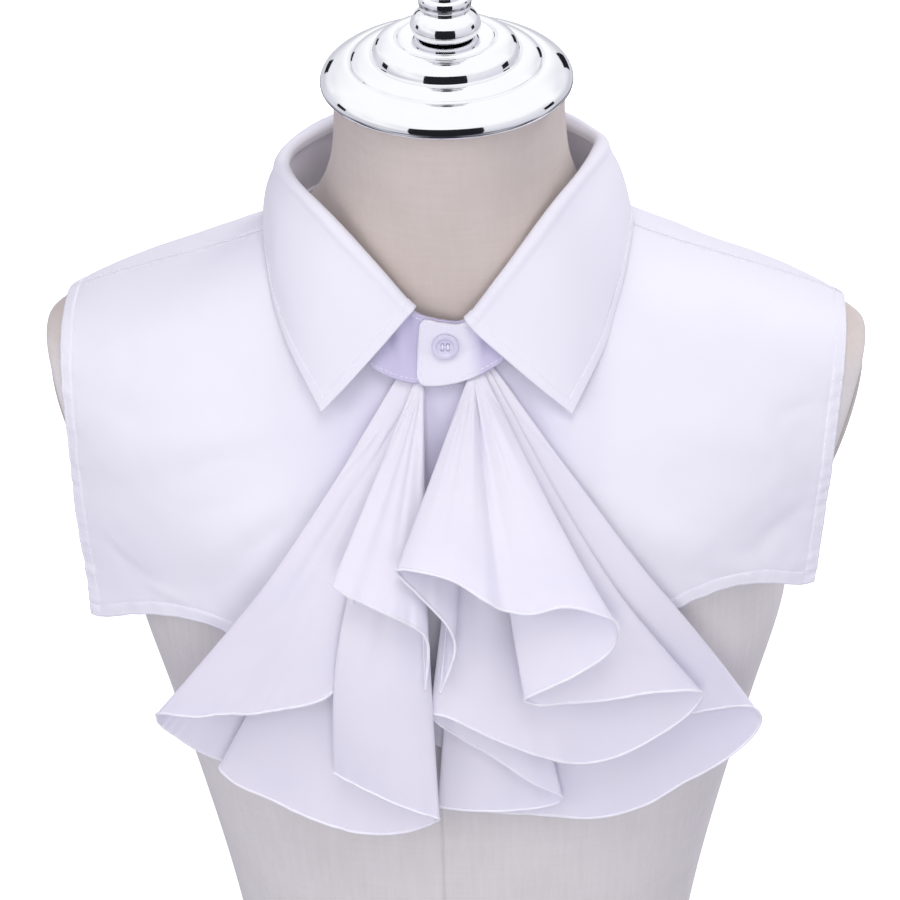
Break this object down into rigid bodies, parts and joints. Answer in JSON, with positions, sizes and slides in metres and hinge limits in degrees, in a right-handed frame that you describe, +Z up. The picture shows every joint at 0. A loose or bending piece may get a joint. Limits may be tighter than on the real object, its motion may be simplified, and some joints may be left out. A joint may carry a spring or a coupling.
{
  "type": "jabot collar on a dress form",
  "caption": "Sleeveless shirt-front collar with a turned-down collar, a buttoned stand and cascading jabot ruffles, worn on a limbless dress form.",
  "frame": {"origin": "centre of the dress form's flat base, where it stands", "axes": "+Z up along the form, -Y out of the chest, +X to the wearer's left"},
  "size_m": [0.4166, 0.2638, 0.644],
  "materials": {
    "form_linen": "fine plain-weave cover in pale greige, matt",
    "arm_plate": "plain grey plate",
    "polished_metal": "mirror-polished chrome",
    "shirting": "fine white shirting, soft",
    "collar_cloth": "fine white shirting, pressed crisp",
    "button": "white resin, satin gloss",
    "chiffon": "sheer lilac-white chiffon with rolled hems"
  },
  "bodies": {
    "root": {"torso_form": "form_linen", "arm_plate_left": "arm_plate", "arm_plate_right": "arm_plate", "neck_cap": "polished_metal", "finial": "polished_metal", "front_panel_left": "shirting", "front_panel_right": "shirting", "back_panel": "shirting", "collar_stand": "collar_cloth", "collar_fall": "collar_cloth", "neck_button": "button", "jabot_ruffle_left": "chiffon", "jabot_ruffle_right": "chiffon"}
  },
  "joints": []
}
